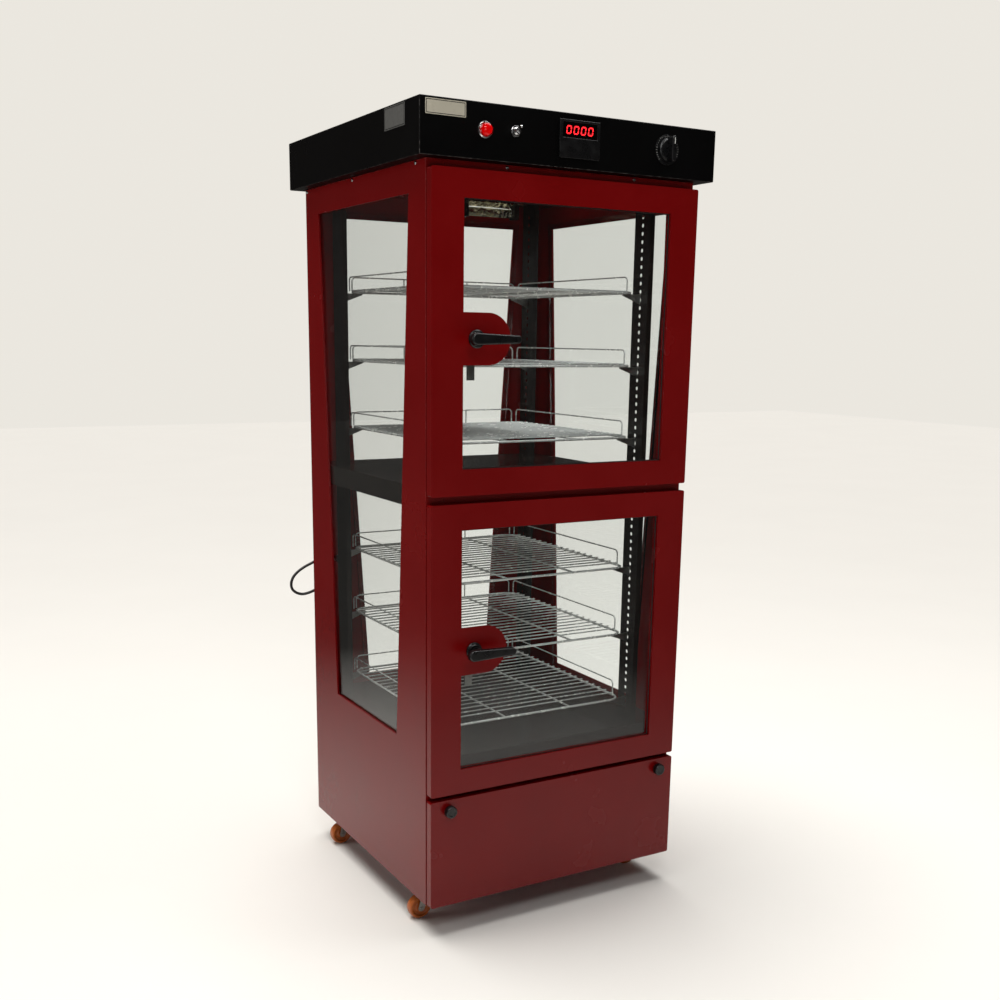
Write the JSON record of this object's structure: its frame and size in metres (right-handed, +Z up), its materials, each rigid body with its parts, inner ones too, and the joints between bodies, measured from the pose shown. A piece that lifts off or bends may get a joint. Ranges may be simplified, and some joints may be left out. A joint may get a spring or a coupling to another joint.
{
  "type": "food holding cabinet",
  "caption": "Upright glazed food holding cabinet on casters, with two glass doors over wire shelves, a control box on top and a removable foot cover.",
  "frame": {"origin": "on the floor under the middle of the cabinet's bounding box, measured without the mains cord", "axes": "+Z up, +X to the right seen from the front, -Y out of the doors"},
  "size_m": [0.6682, 0.8083, 1.6015],
  "materials": {
    "red_powder_coat": "satin deep red powder coat on folded sheet steel",
    "black_powder_coat": "satin black powder coat on folded sheet steel",
    "chamber_black": "dark heat-proof enamel on sheet steel",
    "clear_glass": "clear toughened sheet glass with polished edges",
    "chromed_wire": "bright chromed steel wire",
    "black_rubber": "matt black glazing strip",
    "zinc_steel": "bright zinc-plated pressed steel",
    "orange_wheel": "orange cast polyurethane wheel",
    "chrome_trim": "polished chrome plate",
    "red_lens": "clear red moulded lens",
    "display_lens": "dark red transparent window",
    "brushed_plate": "fine brushed aluminium plate",
    "heater_tube": "oxidised sheathed heating tube",
    "lamp_tray": "bright crumpled reflector foil and glass tube",
    "black_cord": "matt black mains flex",
    "black_plastic": "moulded black plastic"
  },
  "bodies": {
    "cabinet": {"left_side_panel": "red_powder_coat", "right_side_panel": "red_powder_coat", "back_panel": "red_powder_coat", "front_frame": "red_powder_coat", "base_pan": "red_powder_coat", "chamber_deck": "chamber_black", "mid_divider": "chamber_black", "cabinet_top": "red_powder_coat", "control_box": "black_powder_coat", "shelf_strips": "red_powder_coat", "shelf_brackets": "chromed_wire", "left_glass": "clear_glass", "right_glass": "clear_glass", "back_glass": "clear_glass", "upper_shelves": "chromed_wire", "lower_shelves": "chromed_wire", "guard_rails": "chromed_wire", "hinge_pins": "zinc_steel", "pilot_bezel": "chrome_trim", "pilot_lens": "red_lens", "toggle_body": "chrome_trim", "display_housing": "black_plastic", "display_window": "display_lens", "thermostat_dial": "black_plastic", "nameplates": "brushed_plate", "caster_plates": "zinc_steel", "heaters": "heater_tube", "chamber_lamp": "lamp_tray", "cord_gland": "black_plastic", "cord_tube": "black_cord", "cord_coil": "black_cord", "plug": "black_plastic", "cable_clips": "black_plastic"},
    "upper_door": {"upper_door_frame": "red_powder_coat", "upper_door_glass": "clear_glass", "upper_door_seal": "black_rubber", "upper_hinge_halves": "zinc_steel", "upper_latch_base": "black_plastic"},
    "lower_door": {"lower_door_frame": "red_powder_coat", "lower_door_glass": "clear_glass", "lower_door_seal": "black_rubber", "lower_hinge_halves": "zinc_steel", "lower_latch_base": "black_plastic"},
    "upper_latch": {"upper_lever": "black_plastic", "upper_latch_cam": "zinc_steel"},
    "lower_latch": {"lower_lever": "black_plastic", "lower_latch_cam": "zinc_steel"},
    "bottom_cover": {"bottom_cover": "red_powder_coat"},
    "left_thumb_screw": {"left_thumb_screw": "black_plastic"},
    "right_thumb_screw": {"right_thumb_screw": "black_plastic"},
    "toggle_bat": {"toggle_bat": "chrome_trim"},
    "thermostat_knob": {"thermostat_knob": "black_plastic"},
    "front_left_fork": {"front_left_fork": "zinc_steel"},
    "front_left_wheel": {"front_left_wheel": "orange_wheel"},
    "front_right_fork": {"front_right_fork": "zinc_steel"},
    "front_right_wheel": {"front_right_wheel": "orange_wheel"},
    "rear_left_fork": {"rear_left_fork": "zinc_steel"},
    "rear_left_wheel": {"rear_left_wheel": "orange_wheel"},
    "rear_right_fork": {"rear_right_fork": "zinc_steel"},
    "rear_right_wheel": {"rear_right_wheel": "orange_wheel"}
  },
  "joints": [
    {"name": "upper_door_hinge", "type": "hinge", "parent": "cabinet", "child": "upper_door", "pos_m": [0.3055, -0.2785, 1.195], "axis": [0, 0, 1], "range_deg": [0, 115]},
    {"name": "lower_door_hinge", "type": "hinge", "parent": "cabinet", "child": "lower_door", "pos_m": [0.3055, -0.2785, 0.595], "axis": [0, 0, 1], "range_deg": [0, 115]},
    {"name": "upper_latch_turn", "type": "hinge", "parent": "upper_door", "child": "upper_latch", "pos_m": [-0.205, -0.3115, 1.192], "axis": [0, 1, 0], "range_deg": [0, 90]},
    {"name": "lower_latch_turn", "type": "hinge", "parent": "lower_door", "child": "lower_latch", "pos_m": [-0.205, -0.3115, 0.596], "axis": [0, 1, 0], "range_deg": [0, 90]},
    {"name": "bottom_cover_pull", "type": "slide", "parent": "cabinet", "child": "bottom_cover", "axis": [0, -1, 0], "range_m": [0, 0.08]},
    {"name": "left_thumb_screw_turn", "type": "hinge", "parent": "bottom_cover", "child": "left_thumb_screw", "pos_m": [-0.258, -0.3015, 0.272], "axis": [0, 1, 0], "continuous": true},
    {"name": "right_thumb_screw_turn", "type": "hinge", "parent": "bottom_cover", "child": "right_thumb_screw", "pos_m": [0.258, -0.3015, 0.272], "axis": [0, 1, 0], "continuous": true},
    {"name": "toggle_rock", "type": "hinge", "parent": "cabinet", "child": "toggle_bat", "pos_m": [-0.134, -0.314, 1.5585], "axis": [1, 0, 0], "range_deg": [0, 40]},
    {"name": "thermostat_turn", "type": "hinge", "parent": "cabinet", "child": "thermostat_knob", "pos_m": [0.207, -0.318, 1.5555], "axis": [0, 1, 0], "range_deg": [0, 270]},
    {"name": "front_left_swivel", "type": "hinge", "parent": "cabinet", "child": "front_left_fork", "pos_m": [-0.262, -0.1965, 0.06], "axis": [0, 0, 1], "continuous": true},
    {"name": "front_left_roll", "type": "hinge", "parent": "front_left_fork", "child": "front_left_wheel", "pos_m": [-0.276, -0.1965, 0.025], "axis": [0, 1, 0], "continuous": true},
    {"name": "front_right_swivel", "type": "hinge", "parent": "cabinet", "child": "front_right_fork", "pos_m": [0.262, -0.1965, 0.06], "axis": [0, 0, 1], "continuous": true},
    {"name": "front_right_roll", "type": "hinge", "parent": "front_right_fork", "child": "front_right_wheel", "pos_m": [0.262, -0.1825, 0.025], "axis": [1, 0, 0], "continuous": true},
    {"name": "rear_left_swivel", "type": "hinge", "parent": "cabinet", "child": "rear_left_fork", "pos_m": [-0.262, 0.2335, 0.06], "axis": [0, 0, 1], "continuous": true},
    {"name": "rear_left_roll", "type": "hinge", "parent": "rear_left_fork", "child": "rear_left_wheel", "pos_m": [-0.276, 0.2335, 0.025], "axis": [0, 1, 0], "continuous": true},
    {"name": "rear_right_swivel", "type": "hinge", "parent": "cabinet", "child": "rear_right_fork", "pos_m": [0.262, 0.2335, 0.06], "axis": [0, 0, 1], "continuous": true},
    {"name": "rear_right_roll", "type": "hinge", "parent": "rear_right_fork", "child": "rear_right_wheel", "pos_m": [0.248, 0.2335, 0.025], "axis": [0, 1, 0], "continuous": true}
  ]
}
